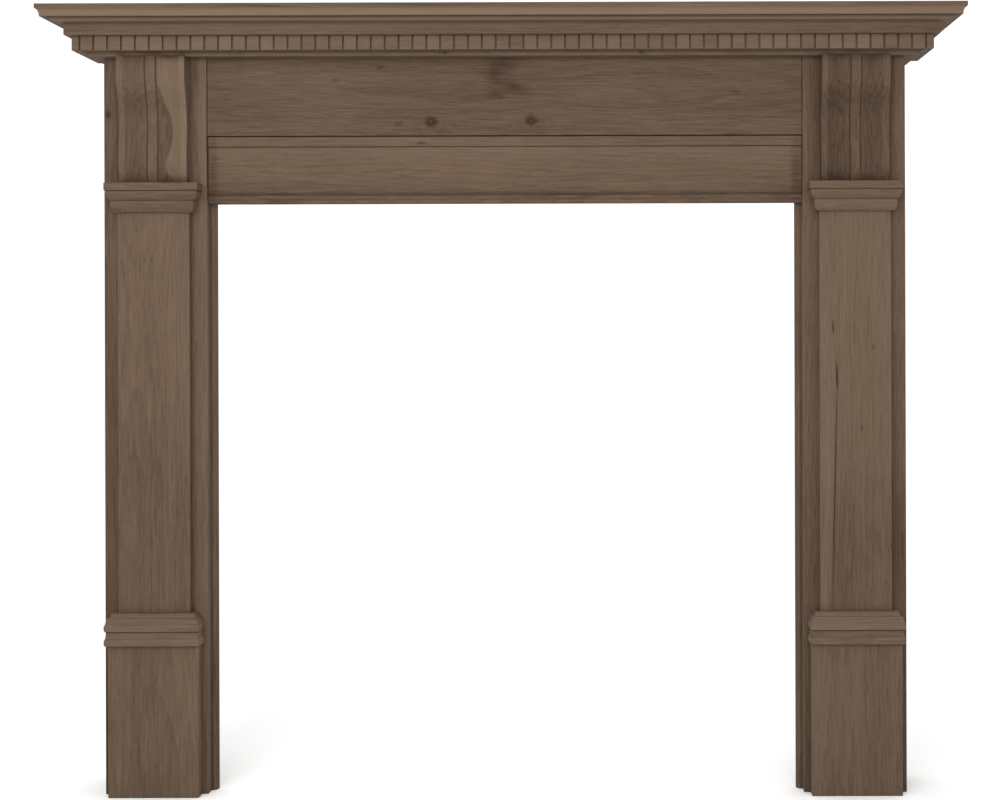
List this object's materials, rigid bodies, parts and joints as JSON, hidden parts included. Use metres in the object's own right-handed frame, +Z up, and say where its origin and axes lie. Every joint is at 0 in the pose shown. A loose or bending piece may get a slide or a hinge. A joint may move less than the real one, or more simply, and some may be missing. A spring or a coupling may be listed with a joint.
{
  "type": "fireplace mantelpiece",
  "caption": "Stained oak fireplace mantelpiece: moulded shelf on a dentil cornice, plain frieze, and pilaster legs with plinths, capitals and fluted scroll corbels.",
  "frame": {"origin": "on the floor, under the middle of the shelf's length and depth", "axes": "+X along the shelf to the right as seen from the front, +Y back towards the wall, +Z up"},
  "size_m": [1.495, 0.18, 1.292],
  "materials": {
    "oak_boards": "satin stained oak",
    "oak_cornice": "satin stained oak",
    "oak_mouldings": "satin stained oak"
  },
  "bodies": {
    "root": {"shelf": "oak_cornice", "shelf_moulding_front": "oak_cornice", "shelf_moulding_left": "oak_cornice", "shelf_moulding_right": "oak_cornice", "cornice_board": "oak_cornice", "dentil_strip_front": "oak_cornice", "dentil_strip_left": "oak_cornice", "dentil_strip_right": "oak_cornice", "bed_moulding_front": "oak_cornice", "bed_moulding_left": "oak_cornice", "bed_moulding_right": "oak_cornice", "frieze_board": "oak_boards", "lintel_board": "oak_boards", "left_backing_board": "oak_boards", "left_side_board": "oak_boards", "left_inner_slip": "oak_boards", "left_pilaster": "oak_boards", "left_plinth_block": "oak_boards", "left_plinth_cap_lower_front": "oak_mouldings", "left_plinth_cap_lower_left": "oak_mouldings", "left_plinth_cap_lower_right": "oak_mouldings", "left_plinth_cap_upper_front": "oak_mouldings", "left_plinth_cap_upper_left": "oak_mouldings", "left_plinth_cap_upper_right": "oak_mouldings", "left_capital_front": "oak_mouldings", "left_capital_left": "oak_mouldings", "left_capital_right": "oak_mouldings", "left_corbel": "oak_mouldings", "right_backing_board": "oak_boards", "right_side_board": "oak_boards", "right_inner_slip": "oak_boards", "right_pilaster": "oak_boards", "right_plinth_block": "oak_boards", "right_plinth_cap_lower_front": "oak_mouldings", "right_plinth_cap_lower_left": "oak_mouldings", "right_plinth_cap_lower_right": "oak_mouldings", "right_plinth_cap_upper_front": "oak_mouldings", "right_plinth_cap_upper_left": "oak_mouldings", "right_plinth_cap_upper_right": "oak_mouldings", "right_capital_front": "oak_mouldings", "right_capital_left": "oak_mouldings", "right_capital_right": "oak_mouldings", "right_corbel": "oak_mouldings"}
  },
  "joints": []
}
